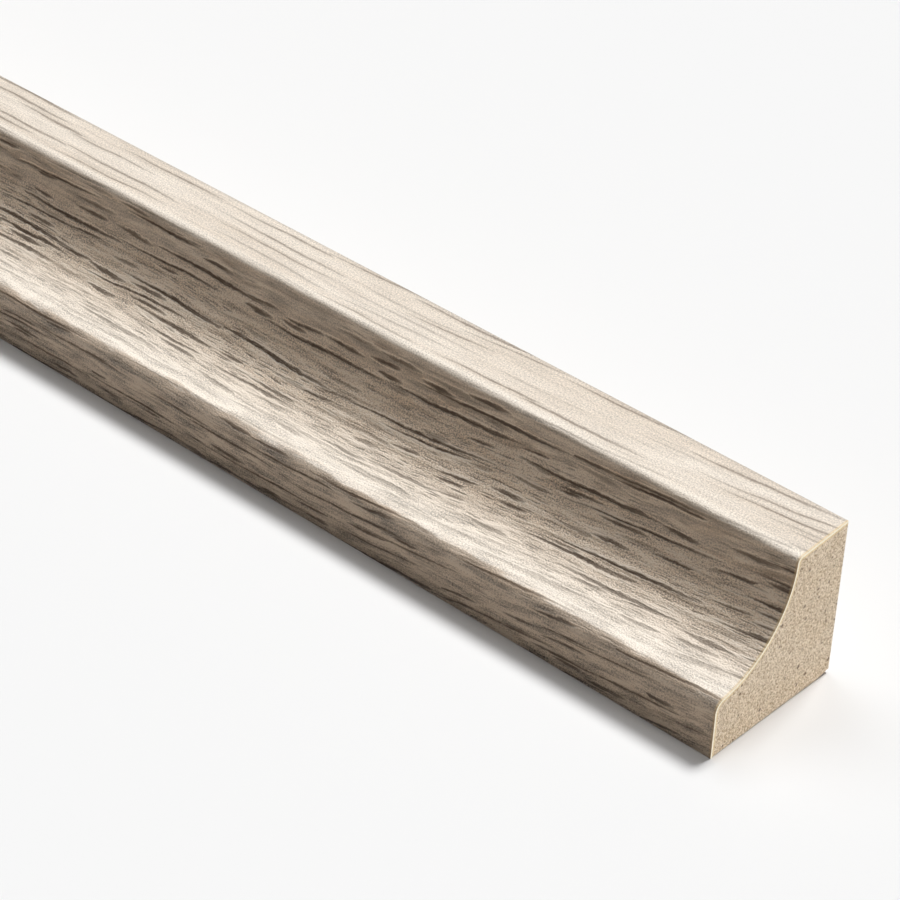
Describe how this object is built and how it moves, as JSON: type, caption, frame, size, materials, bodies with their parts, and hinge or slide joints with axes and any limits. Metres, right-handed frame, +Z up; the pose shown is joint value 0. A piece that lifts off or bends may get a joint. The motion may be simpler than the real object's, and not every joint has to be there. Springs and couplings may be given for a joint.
{
  "type": "scotia moulding",
  "caption": "Hollow-faced edge moulding of board wrapped in oak-print foil, which covers the gap between a laid floor and the wall.",
  "frame": {"origin": "middle of the strip's length and depth, on the floor that its base lies on", "axes": "+X along the strip, +Y towards the wall that its back stands against, +Z up"},
  "size_m": [2.4, 0.018, 0.018],
  "materials": {
    "mdf": "matte",
    "oak_foil": "satin"
  },
  "bodies": {
    "root": {"mdf_core": "mdf", "foil_wrap": "oak_foil"}
  },
  "joints": []
}
